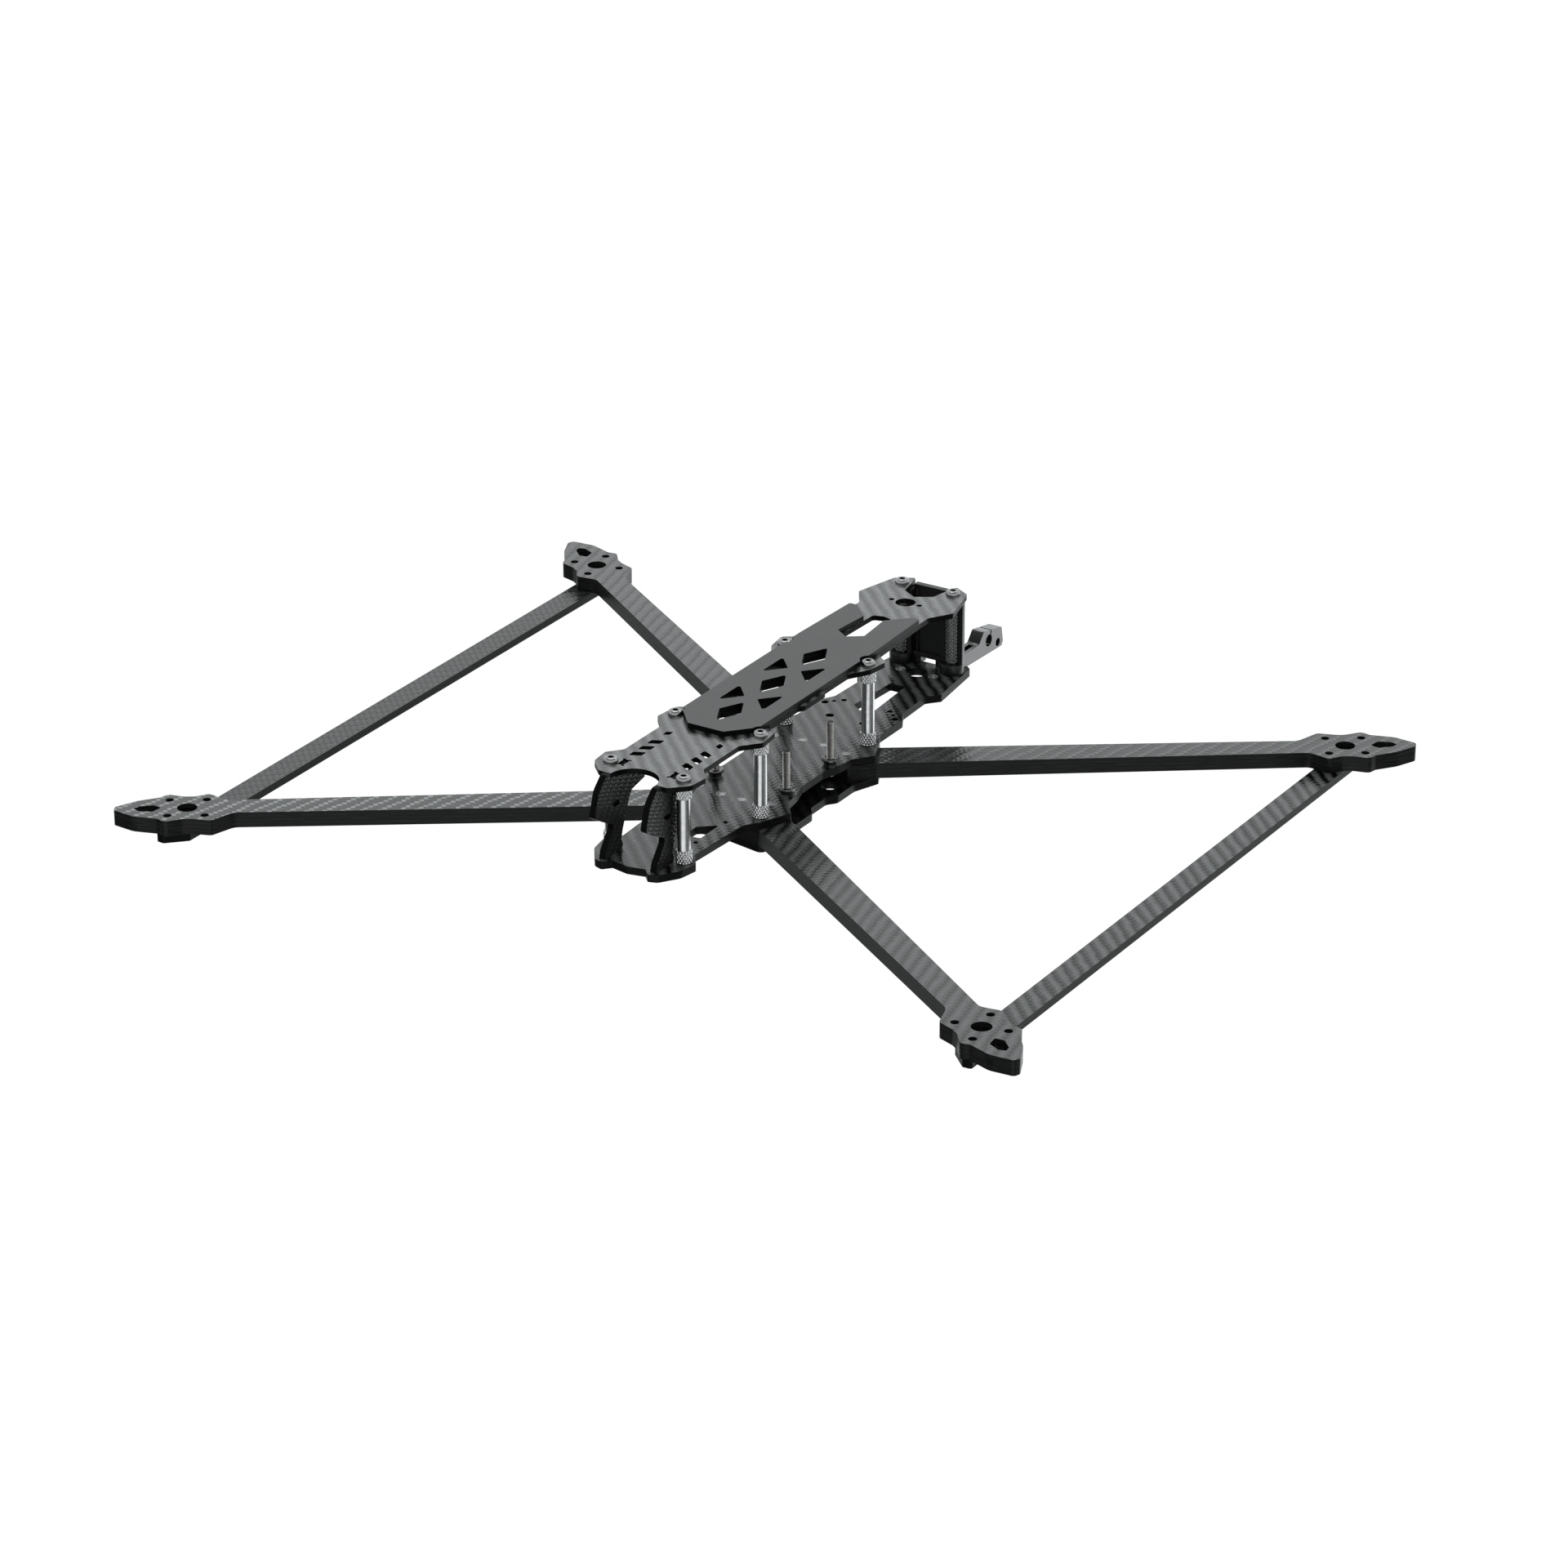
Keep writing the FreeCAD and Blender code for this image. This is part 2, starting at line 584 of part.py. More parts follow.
def button_screw(name, x, y, head_z, up, shank_length, shank_radius="sizes.shank_radius"):
    """Button-head screw; head_z is the face under the head and up says which way the head points."""
    height = "sizes.head_height"
    low = head_z if up else f"{head_z} - {height}"
    head = cylinder(name + "_head", "sizes.head_radius", height, x, y, low)
    shank_low = f"{head_z} - ({shank_length})" if up else head_z
    shank = cylinder(name + "_shank", shank_radius, shank_length, x, y, shank_low)
    socket_z = f"{head_z} + {height} - sizes.socket_depth" if up else f"{low} - sizes.key_overshoot"
    socket = hex_socket(name + "_socket", socket_z, x, y)
    return cut(name, fuse(name + "_solid", [head, shank]), [socket])


def stack_stud(name, x, y):
    """Screw from below: thread root inside the plate and the nut, full diameter where it stands free."""
    gripped = "sizes.mid_thick + sizes.stack_nut_height"
    screw = button_screw(name + "_screw", x, y, MID_BASE, False, gripped, "sizes.thread_root_radius")
    nut_top = f"{DECK_BASE} + sizes.stack_nut_height"
    free = cylinder(name + "_free", "sizes.shank_radius", f"sizes.stack_stud_top - ({nut_top})",
                    x, y, nut_top)
    return fuse(name, [screw, free])


def sunk_screw(name, x, y, shank_length):
    """Countersunk screw whose head is flush with the underside of the bottom plate."""
    head = doc.addObject("Part::Cone", name + "_head")
    head.Placement = Placement(Vector(x, y, 0), Rotation())
    head.setExpression("Radius1", "sizes.sunk_head_radius")
    head.setExpression("Radius2", "sizes.shank_radius")
    head.setExpression("Height", "sizes.sunk_head_radius - sizes.shank_radius")
    shank = cylinder(name + "_shank", "sizes.shank_radius", shank_length, x, y)
    socket = hex_socket(name + "_socket", "-sizes.key_overshoot", x, y)
    return cut(name, fuse(name + "_solid", [head, shank]), [socket])


def make_hardware():
    front = positions("front_post_x", "front_post_y", [(-1, -1), (1, -1)])
    middle = positions("mid_post_x", "mid_post_y", CORNERS)
    rear = positions("rear_post_x", "rear_post_y", [(-1, 1), (1, 1)])
    for (x, y), side in zip(front, SIDES):
        make_post("standoff_front_" + side, x, y)
    for (x, y), (sx, sy) in zip(middle, CORNERS):
        end = "front" if sy < 0 else "rear"
        side = "left" if sx < 0 else "right"
        make_post(f"standoff_mid_{end}_{side}", x, y)
    for (x, y), side in zip(rear, SIDES):
        make_rear_post("rear_post_" + side, x, y)

    grip = "sizes.screw_engagement"
    top = [button_screw(f"top_screw_{i}", x, y, PAD_BASE, True, f"{grip} + sizes.top_thick")
           for i, (x, y) in enumerate(front + middle + rear)]
    hardware_group("top_screws", top)
    under = [button_screw(f"deck_screw_{i}", x, y, MID_BASE, False, f"{grip} + sizes.mid_thick")
             for i, (x, y) in enumerate(front + rear)]
    hardware_group("deck_screws", under)
    long_shank = f"{DECK_BASE} + {grip}"
    sunk = [sunk_screw(f"post_screw_{i}", x, y, long_shank) for i, (x, y) in enumerate(middle)]
    hardware_group("post_screws", sunk)

    nuts = positions("inner_nut_x", "inner_nut_y", CORNERS)
    nuts += positions("outer_nut_x", "outer_nut_y", CORNERS)
    hardware_group("arm_screws", [sunk_screw(f"arm_screw_{i}", x, y, f"{DECK_BASE} - sizes.arm_screw_recess")
                                  for i, (x, y) in enumerate(nuts)])
    hardware_group("press_nuts", [press_nut(f"press_nut_{i}", x, y) for i, (x, y) in enumerate(nuts)])
    inserts = positions("rear_insert_x", "rear_insert_y", [(-1, 1), (1, 1)])
    hardware_group("rear_inserts", [press_nut(f"insert_{i}", x, y) for i, (x, y) in enumerate(inserts)])

    stack = positions("stack_pitch", "stack_pitch", CORNERS, 0.5)
    hardware_group("stack_screws", [stack_stud(f"stack_stud_{i}", x, y) for i, (x, y) in enumerate(stack)])
    hardware_group("stack_nuts", [stack_nut(f"stack_nut_{i}", x, y) for i, (x, y) in enumerate(stack)])


def press_nut(name, x, y):
    """Threaded insert flush with both faces of the mid plate."""
    body = cylinder(name + "_body", "sizes.press_nut_radius", "sizes.mid_thick", x, y, MID_BASE)
    bore = cylinder(name + "_bore", "sizes.screw_radius", "sizes.mid_thick", x, y, MID_BASE)
    return cut(name, body, [bore])


def stack_nut(name, x, y):
    """Round nut bored to the thread's minor diameter: a narrow hub under a wider flange."""
    hub = cylinder(name + "_hub", "sizes.stack_hub_radius", "sizes.stack_nut_height", x, y, DECK_BASE)
    flange = cylinder(name + "_flange", "sizes.stack_nut_radius", "sizes.stack_nut_flange", x, y,
                      DECK_BASE + " + sizes.stack_nut_height - sizes.stack_nut_flange")
    bore = cylinder(name + "_bore", "sizes.thread_bore_radius", "sizes.stack_nut_height", x, y, DECK_BASE)
    return cut(name, fuse(name + "_solid", [hub, flange]), [bore])


# ---------------------------------------------------------------- rear antenna mount
MOUNT_BACK = 115.8                                         # y of the mount's rear face, where the arms start
ANTENNA_ARM_HEIGHT = 5.5


def make_rear_mount():
    """Moulded mount held by the rear posts; its two arms clamp an antenna tube."""
    x_post, y_post = size("rear_post_x"), size("rear_post_y")
    arm_low, arm_high = size("antenna_arm_x"), size("antenna_arm_x") + size("antenna_arm_width")
    solids = [
        box("mount_wall", (-x_post, 112.9, DECK_Z + 5.0), (x_post, MOUNT_BACK, TOP_Z)),
        box("mount_tab", (-7.0, 113.0, TOP_Z), (7.0, 115.4, PAD_Z - 0.4)),
        box("mount_bar", (-x_post, 111.2, DECK_Z + 3.0), (x_post, MOUNT_BACK, DECK_Z + 5.0)),
    ]
    voids = [box("mount_opening", (-20, 95, DECK_Z + 4.2), (20, y_post - 0.6, TOP_Z + 1))]
    for side, sx in SIDES.items():
        x = sx * x_post
        low, high = sorted((sx * 3.2, x))
        solids.append(cylinder("mount_sleeve_" + side, "sizes.mount_sleeve_radius",
                               "sizes.post_length", x, y_post, DECK_BASE))
        solids.append(box("mount_leg_" + side, (low, 112.0, DECK_Z), (high, MOUNT_BACK, DECK_Z + 3.5)))
        root_low, root_high = sorted((sx * arm_low, sx * arm_high))
        solids.append(box("mount_root_" + side, (root_low, 114.0, DECK_Z),
                          (root_high, MOUNT_BACK, DECK_Z + ANTENNA_ARM_HEIGHT)))
        rib_low, rib_high = sorted((sx * 4.7, sx * 5.7))
        solids.append(box("mount_rib_" + side, (rib_low, 112.2, DECK_Z + 4.0), (rib_high, MOUNT_BACK, TOP_Z)))
        voids.append(cylinder("mount_bore_" + side, "sizes.mount_bore_radius",
                              "sizes.post_length + 2", x, y_post, DECK_BASE + " - 1"))
    parts["rear_mount"] = cut("rear_mount", fuse("mount_solids", solids), voids)
    for side in SIDES:
        parts["antenna_arm_" + side] = antenna_arm(side)


def antenna_arm(side):
    """Arm reaching back from the mount; outline is listed as (y, z over the deck face)."""
    profile = [
        (MOUNT_BACK, 0.0), (145.0, -1.0, 1.0), (146.0, 0.6, 0.8), (144.8, 7.0, 1.2), (137.4, 8.4, 0.5),
        (131.2, 9.6, 1.0), (127.6, ANTENNA_ARM_HEIGHT, 1.5), (MOUNT_BACK, ANTENNA_ARM_HEIGHT),
    ]
    split, arm_width = 0.8, size("antenna_arm_width")
    body = doc.addObject("PartDesign::Body", "antenna_arm_" + side)
    body.Label = "antenna_arm_" + side
    body.setExpression("Placement.Base.z", DECK_BASE)
    edge = "sizes.antenna_arm_x" if side == "right" else "-sizes.antenna_arm_x - sizes.antenna_arm_width"
    body.setExpression("Placement.Base.x", edge)
    pad_outline(body, [profile], "antenna_arm_width", "YZ_Plane")

    bores = new_sketch(body, "Bores_" + body.Label, "YZ_Plane")
    add_circle(bores, size("antenna_y"), size("antenna_z") - DECK_Z, "antenna_radius",
               "sizes.antenna_y", f"sizes.antenna_z - ({DECK_BASE})")
    add_circle(bores, size("lug_hole_y"), size("lug_hole_z") - DECK_Z, "lug_hole_radius",
               "sizes.lug_hole_y", f"sizes.lug_hole_z - ({DECK_BASE})")
    pocket(body, bores, "Bores")
    gap = new_sketch(body, "Split_" + body.Label, "YZ_Plane")
    gap.addGeometry(rounded_outline([(135.8, 5.0), (135.8 + split, 5.0), (136.6 + split, 12.0),
                                     (136.6, 12.0)]), False)
    pocket(body, gap, "Split")
    arm_low = size("antenna_arm_x") if side == "right" else -size("antenna_arm_x") - arm_width
    wall, depth = 1.5, 2.0
    channel = box("antenna_channel_" + side,
                  (arm_low + wall, MOUNT_BACK - 1.0, DECK_Z + ANTENNA_ARM_HEIGHT - depth),
                  (arm_low + arm_width - wall, 126.0, TOP_Z))
    return cut("antenna_arm_cut_" + side, body, [channel])


# ---------------------------------------------------------------- build, check, write
make_bottom_plate()
make_mid_plate()
make_top_plate()
make_battery_pad()
for end in ENDS:
    for side in SIDES:
        make_arm(end, side)
for side in SIDES:
    make_brace(side)
    make_camera_plate(side)
make_hardware()
make_rear_mount()
doc.recompute()

for item in doc.Objects:
    if "Invalid" in item.State or "Error" in item.State:
        raise RuntimeError(f"{item.Label} failed: {item.State}")
for label, item in parts.items():
    if item.Shape.isNull() or not item.Shape.isValid():
        raise RuntimeError(label + " has no valid shape")

os.makedirs("parts", exist_ok=True)
for label, item in parts.items():
    item.Shape.exportStep(f"parts/{label}.step")
    bounds = item.Shape.BoundBox
    print(f"{label:26s} solids {len(item.Shape.Solids):2d}  volume {item.Shape.Volume:9.1f}"
          f"  z {bounds.ZMin:6.2f} {bounds.ZMax:6.2f}")
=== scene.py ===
"""Looks, light and camera for the quadcopter frame. Lengths are metres; MM turns millimetres into them."""
import math

import bmesh
import bpy
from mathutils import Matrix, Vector


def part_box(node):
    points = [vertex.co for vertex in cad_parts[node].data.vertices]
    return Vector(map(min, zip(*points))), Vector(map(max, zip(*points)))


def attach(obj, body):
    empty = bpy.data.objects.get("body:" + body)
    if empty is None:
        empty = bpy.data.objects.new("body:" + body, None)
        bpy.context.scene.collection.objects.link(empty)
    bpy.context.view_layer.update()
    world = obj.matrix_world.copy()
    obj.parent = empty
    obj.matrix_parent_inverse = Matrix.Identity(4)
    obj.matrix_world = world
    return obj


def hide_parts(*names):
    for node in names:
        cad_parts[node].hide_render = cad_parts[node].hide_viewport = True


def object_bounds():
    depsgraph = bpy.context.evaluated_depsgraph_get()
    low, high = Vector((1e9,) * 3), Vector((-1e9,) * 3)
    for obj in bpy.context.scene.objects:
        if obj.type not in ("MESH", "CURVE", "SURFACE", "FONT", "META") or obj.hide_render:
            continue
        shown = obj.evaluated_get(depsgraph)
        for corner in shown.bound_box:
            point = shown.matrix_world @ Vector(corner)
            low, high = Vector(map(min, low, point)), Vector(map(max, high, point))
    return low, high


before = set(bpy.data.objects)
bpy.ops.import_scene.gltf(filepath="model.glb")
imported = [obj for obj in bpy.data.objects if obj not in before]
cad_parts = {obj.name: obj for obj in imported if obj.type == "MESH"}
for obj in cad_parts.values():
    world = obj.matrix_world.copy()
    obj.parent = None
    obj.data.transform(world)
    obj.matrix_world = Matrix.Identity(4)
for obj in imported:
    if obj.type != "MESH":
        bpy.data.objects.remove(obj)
cad_low, cad_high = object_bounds()

MM = 0.001
TAU = 2 * math.pi
scene = bpy.context.scene

POST_NODES = [f"standoff_{place}_{side}" for place in ("front", "mid_front", "mid_rear")
              for side in ("left", "right")]
REAR_POST_NODES = ["rear_post_left", "rear_post_right"]
BORE_RADIUS = 1.5 * MM   # threaded bore in posts and press nuts


# ------------------------------------------------------------------ node helpers
class Nodes:
    """Short calls for building one node tree."""

    def __init__(self, tree):
        self.tree = tree

    def link(self, source, target):
        self.tree.links.new(source, target)

    def put(self, socket, value):
        if hasattr(value, "is_output"):
            self.link(value, socket)
        else:
            socket.default_value = value

    def maths(self, operation, a, b=0.0, c=0.0):
        node = self.tree.nodes.new("ShaderNodeMath")
        node.operation = operation
        for socket, value in zip(node.inputs, (a, b, c)):
            self.put(socket, value)
        return node.outputs[0]

    def vector(self, operation, a, b=(0, 0, 0), scale=1.0):
        node = self.tree.nodes.new("ShaderNodeVectorMath")
        node.operation = operation
        self.put(node.inputs[0], a)
        if operation == "SCALE":
            self.put(node.inputs[3], scale)
        elif operation != "NORMALIZE":
            self.put(node.inputs[1], b)
        return node.outputs[1] if operation == "DOT_PRODUCT" else node.outputs[0]

    def combine(self, x, y, z):
        node = self.tree.nodes.new("ShaderNodeCombineXYZ")
        for socket, value in zip(node.inputs, (x, y, z)):
            self.put(socket, value)
        return node.outputs[0]

    def separate(self, value):
        node = self.tree.nodes.new("ShaderNodeSeparateXYZ")
        self.link(value, node.inputs[0])
        return node.outputs

    def place(self):
        """Position in the row frame."""
        return self.tree.nodes.new("ShaderNodeTexCoord").outputs["Object"]

    def normal(self):
        return self.tree.nodes.new("ShaderNodeNewGeometry").outputs["Normal"]

    def noise(self, place, scale, detail=3.0, rough=0.55):
        node = self.tree.nodes.new("ShaderNodeTexNoise")
        self.link(place, node.inputs["Vector"])
        node.inputs["Scale"].default_value = scale
        node.inputs["Detail"].default_value = detail
        node.inputs["Roughness"].default_value = rough
        return node.outputs["Fac"]

    def mix(self, factor, a, b):
        node = self.tree.nodes.new("ShaderNodeMix")
        node.data_type = "RGBA"
        for socket, value in zip((node.inputs[0], node.inputs[6], node.inputs[7]), (factor, a, b)):
            self.put(socket, value)
        return node.outputs[2]

    def blend(self, factor, a, b):
        node = self.tree.nodes.new("ShaderNodeMix")
        node.data_type = "FLOAT"
        for socket, value in zip((node.inputs[0], node.inputs[2], node.inputs[3]), (factor, a, b)):
            self.put(socket, value)
        return node.outputs[0]

    def spread(self, value, low, high, out_low=0.0, out_high=1.0):
        node = self.tree.nodes.new("ShaderNodeMapRange")
        for name, number in (("Value", value), ("From Min", low), ("From Max", high),
                             ("To Min", out_low), ("To Max", out_high)):
            self.put(node.inputs[name], number)
        return node.outputs[0]

    def bump(self, height, distance, strength=1.0, normal=None):
        node = self.tree.nodes.new("ShaderNodeBump")
        node.inputs["Distance"].default_value = distance
        node.inputs["Strength"].default_value = strength
        self.link(height, node.inputs["Height"])
        if normal is not None:
            self.link(normal, node.inputs["Normal"])
        return node.outputs[0]


class Surface(Nodes):
    """Node tree of one new material, ending in a Principled shader."""

    def __init__(self, name):
        self.material = bpy.data.materials.new(name)
        self.material.use_nodes = True
        super().__init__(self.material.node_tree)
        self.tree.nodes.clear()
        self.shader = self.tree.nodes.new("ShaderNodeBsdfPrincipled")
        output = self.tree.nodes.new("ShaderNodeOutputMaterial")
        self.link(self.shader.outputs[0], output.inputs["Surface"])

    def set(self, **values):
        """Fill the shader's sockets by name and give the material back."""
        for name, value in values.items():
            self.put(self.shader.inputs[name.replace("_", " ")], value)
        return self.material


def grey(level, tint=(0.98, 1.0, 1.0)):
    return tuple(level * t for t in tint) + (1.0,)


# ------------------------------------------------------------------ materials
TOW = 1.65 * MM          # width of one carbon tow
PLY = 0.25 * MM          # thickness of one laminate ply
FAR_TOWS = 400.0         # added to tow counts, so that they stay positive over the whole frame
WANDER = 0.2             # how far the cloth drifts sideways, in tows


def weave(name, across, along, level=0.04, band=0.3, arch=0.1, crown=0.05, gloss=1.45, tow=TOW, painted_glint=0.0):
    """Twill face of a laminate under clear resin.

    across and along are the weft and warp directions. band sets the contrast of the diagonal ribs and of
    warp against weft in the colour: the twill pattern, partly painted sheen of the tows. arch bends every
    float along its length, crown rounds it across its width, and the last argument paints a highlight onto
    one crossing in four (painted shade when it is below zero).
    """
    n = Surface(name)
    place, normal = n.place(), n.normal()
    u = n.maths("ADD", n.maths("DIVIDE", n.vector("DOT_PRODUCT", place, across), tow), FAR_TOWS)
    v = n.maths("ADD", n.maths("DIVIDE", n.vector("DOT_PRODUCT", place, along), tow), FAR_TOWS)
    wander = n.spread(n.noise(place, 160.0, 2.0), 0.3, 0.7, -WANDER, WANDER)
    u, v = n.maths("ADD", u, wander), n.maths("SUBTRACT", v, wander)
    cell_u, cell_v = n.maths("FLOOR", u), n.maths("FLOOR", v)
    part_u, part_v = n.maths("FRACT", u), n.maths("FRACT", v)
    step = n.maths("FLOORED_MODULO", n.maths("SUBTRACT", cell_u, cell_v), 4.0)
    warp = n.maths("GREATER_THAN", step, 1.5)
    weft = n.maths("SUBTRACT", 1.0, warp)

    def rounded(value):
        """Runs from 0 at one end of -1..1 through a smooth dip and rise back to 0 at the other."""
        square = n.maths("MULTIPLY", value, value)
        return n.maths("MULTIPLY", value, n.maths("SUBTRACT", 1.0, n.maths("MULTIPLY", square, square)))

    # place along each float, which is two crossings long, and across each tow: -1 to 1
    run_v = rounded(n.maths("ADD", n.maths("SUBTRACT", 2.0, step), part_v))
    run_u = rounded(n.maths("ADD", n.maths("SUBTRACT", step, 1.0), part_u))
    width_u = rounded(n.maths("MULTIPLY_ADD", part_u, 2.0, -1.0))
    width_v = rounded(n.maths("MULTIPLY_ADD", part_v, 2.0, -1.0))
    tilt_u = n.maths("ADD", n.maths("MULTIPLY", n.maths("MULTIPLY", run_u, weft), arch),
                     n.maths("MULTIPLY", n.maths("MULTIPLY", width_u, warp), crown))
    tilt_v = n.maths("ADD", n.maths("MULTIPLY", n.maths("MULTIPLY", run_v, warp), arch),
                     n.maths("MULTIPLY", n.maths("MULTIPLY", width_v, weft), crown))

    # fibres: fine streaks along whichever tow is on top
    warp_place = n.combine(n.maths("MULTIPLY", u, 7.0), n.maths("MULTIPLY", v, 0.7), 0.0)
    weft_place = n.combine(n.maths("MULTIPLY", u, 0.7), n.maths("MULTIPLY", v, 7.0), 3.7)
    streak = n.blend(warp, n.noise(weft_place, 1.0), n.noise(warp_place, 1.0))
    patch = n.noise(n.combine(cell_u, cell_v, 0.0), 0.37, 1.0)
    # painted highlight on one crossing in four; painted shade when the value is below zero
    painted_glint_term = n.maths("MULTIPLY", n.maths("GREATER_THAN", step, 2.5), painted_glint)
    # diagonal ribs and warp against weft: the twill pattern, its strength partly painted sheen of the tows
    diagonal = n.maths("MULTIPLY", n.maths("SUBTRACT", n.maths("SUBTRACT", u, v), 2.5), TAU / 4)
    rib = n.maths("MULTIPLY_ADD", n.maths("COSINE", diagonal), band * 0.7, 1.0)
    shade = n.maths("ADD", n.maths("ADD", rib, n.blend(warp, -0.3 * band, 0.3 * band)), painted_glint_term)
    shade = n.maths("MULTIPLY", shade, n.spread(streak, 0.25, 0.75, 0.75, 1.25))
    shade = n.maths("MULTIPLY", shade, n.spread(patch, 0.3, 0.7, 0.85, 1.15))

    tilt = n.vector("ADD", n.vector("SCALE", across, scale=tilt_u), n.vector("SCALE", along, scale=tilt_v))
    woven = n.bump(streak, 0.012 * MM, 0.5, n.vector("NORMALIZE", n.vector("ADD", normal, tilt)))
    return n.set(Base_Color=n.vector("SCALE", grey(level)[:3], scale=shade),
                 Roughness=n.spread(streak, 0.3, 0.7, 0.16, 0.24), Normal=woven, IOR=gloss)


def cut_edge(name, facing, level=0.003, sheen=0.09, lines=0.0):
    """Machined edge of a laminate: almost black, with faint plies; lines adds pale glue lines."""
    n = Surface(name)
    place = n.place()
    depth = n.maths("DIVIDE", n.vector("DOT_PRODUCT", place, facing), PLY)
    rest = n.vector("SCALE", place, scale=120.0)
    plies = n.noise(n.vector("ADD", rest, n.vector("SCALE", facing, scale=depth)), 1.1, 2.0, 0.7)
    shade = n.spread(plies, 0.35, 0.65, 0.3, 2.2)
    if lines:
        glue = n.spread(n.maths("COSINE", n.maths("MULTIPLY", depth, TAU / 6)), 0.75, 1.0, 0.0, lines)
        shade = n.maths("ADD", shade, n.maths("MULTIPLY", glue, n.spread(plies, 0.4, 0.6)))
    return n.set(Base_Color=n.vector("SCALE", grey(level)[:3], scale=shade),
                 Roughness=n.spread(plies, 0.3, 0.7, 0.3, 0.5), Normal=n.bump(plies, 0.03 * MM, 0.5),
                 Specular_IOR_Level=sheen)


def rubber(name, level, sheen):
    """Smooth foam rubber with a faint cloudiness and a fine skin."""
    n = Surface(name)
    place = n.place()
    cloud = n.noise(place, 60.0, 4.0)
    fine = n.noise(place, 2600.0, 2.0)
    return n.set(Base_Color=n.vector("SCALE", grey(level)[:3], scale=n.spread(cloud, 0.3, 0.7, 0.94, 1.06)),
                 Roughness=n.spread(fine, 0.3, 0.7, 0.38, 0.46), Normal=n.bump(fine, 0.01 * MM, 0.3),
                 Specular_IOR_Level=sheen)


def metal(name, level, rough, scratch_axis=2, tint=(1.0, 1.0, 1.0)):
    """Turned metal: faint rings, a few stains and slightly uneven polish."""
    n = Surface(name)
    place = n.place()
    parts = n.separate(place)
    stretch = [0.15, 0.15, 0.15]
    stretch[scratch_axis] = 6.0
    rings = n.combine(*[n.maths("MULTIPLY", parts[k], stretch[k]) for k in range(3)])
    turned = n.noise(rings, 1500.0, 3.0)
    stain = n.noise(place, 420.0, 3.0)
    colour = n.mix(n.spread(stain, 0.35, 0.7), grey(level, tint), grey(level * 0.82, tint))
    return n.set(Base_Color=colour, Metallic=1.0,
                 Roughness=n.spread(turned, 0.3, 0.7, rough * 0.75, rough * 1.3),
                 Normal=n.bump(turned, 0.004 * MM, 0.4))


PRINT_LAYER = 0.25 * MM


def printed(name, level, sheen, rough=0.36):
    """Printed plastic of the rear mount with fine layer lines."""
    n = Surface(name)
    place = n.place()
    layer = n.maths("SINE", n.maths("MULTIPLY", n.separate(place)[2], TAU / PRINT_LAYER))
    wobble = n.noise(place, 900.0, 3.0)
    height = n.maths("ADD", n.maths("MULTIPLY", layer, 0.5), wobble)
    return n.set(Base_Color=n.vector("SCALE", grey(level)[:3], scale=n.spread(wobble, 0.3, 0.7, 0.75, 1.25)),
                 Roughness=n.spread(wobble, 0.3, 0.7, rough * 0.85, rough * 1.15),
                 Normal=n.bump(height, 0.02 * MM, 0.35), Specular_IOR_Level=sheen)


def paint(obj, material):
    obj.data.materials.clear()
    obj.data.materials.append(material)


ALUMINIUM = metal("standoff_aluminium", 0.42, 0.22)
STEEL = metal("screw_stainless", 0.24, 0.2)
# Near-black copy of the screw steel for the inside of hex sockets: painted shade.
SOCKET_PAINTED_SHADE = metal("socket_painted_shade", 0.015, 0.5)
NUT_DARK = metal("stack_nut_steel", 0.12, 0.25)
THREAD_STEEL = metal("stud_steel", 0.26, 0.25, tint=(1.0, 0.97, 0.93))
NUT_STEEL = metal("insert_steel", 0.36, 0.45)
DARK_POST = metal("post_dark", 0.12, 0.25)


# ------------------------------------------------------------------ carried-over plates
def soften(obj, width, angle=35.0):
    """Thin chamfer on the sharp edges of a carried-over node."""
    weld = obj.modifiers.new("weld", "WELD")
    weld.merge_threshold = 0.001 * MM
    bevel = obj.modifiers.new("bevel", "BEVEL")
    bevel.width = width
    bevel.segments = 2
    bevel.limit_method = "ANGLE"
    bevel.angle_limit = math.radians(angle)
    bevel.harden_normals = False


def dress(node, facing, face, side, width):
    """Paint the polygons that look along facing one way and the cut edges another."""
    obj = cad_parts[node]
    obj.data.materials.clear()
    obj.data.materials.append(face)
    obj.data.materials.append(side)
    direction = Vector(facing)
    for polygon in obj.data.polygons:
        polygon.material_index = 0 if abs(polygon.normal.dot(direction)) > 0.7 else 1
    soften(obj, width)


PLATE_CHAMFER = 0.12 * MM
ARM_CHAMFER = 0.18 * MM
PAD_CHAMFER = 0.2 * MM
CAGE_CHAMFER = 0.3 * MM
PRINT_CHAMFER = 0.35 * MM
CAGE_TOW = 1.2 * MM      # the cage plates have a finer cloth
ARM_ANGLE = math.radians(33.37)
# The four arms are one cloth in lit and shaded copies: level (painted shade), contrast of the ribs (partly
# painted sheen), and a painted highlight on single crossings (painted shade when below zero).
ARM_PAINTED_LIGHT = {"front_left": (0.024, 0.5, 5.0), "front_right": (0.028, 0.8, 0.0),
             "rear_left": (0.027, 0.65, 0.5), "rear_right": (0.028, 0.6, -0.9)}


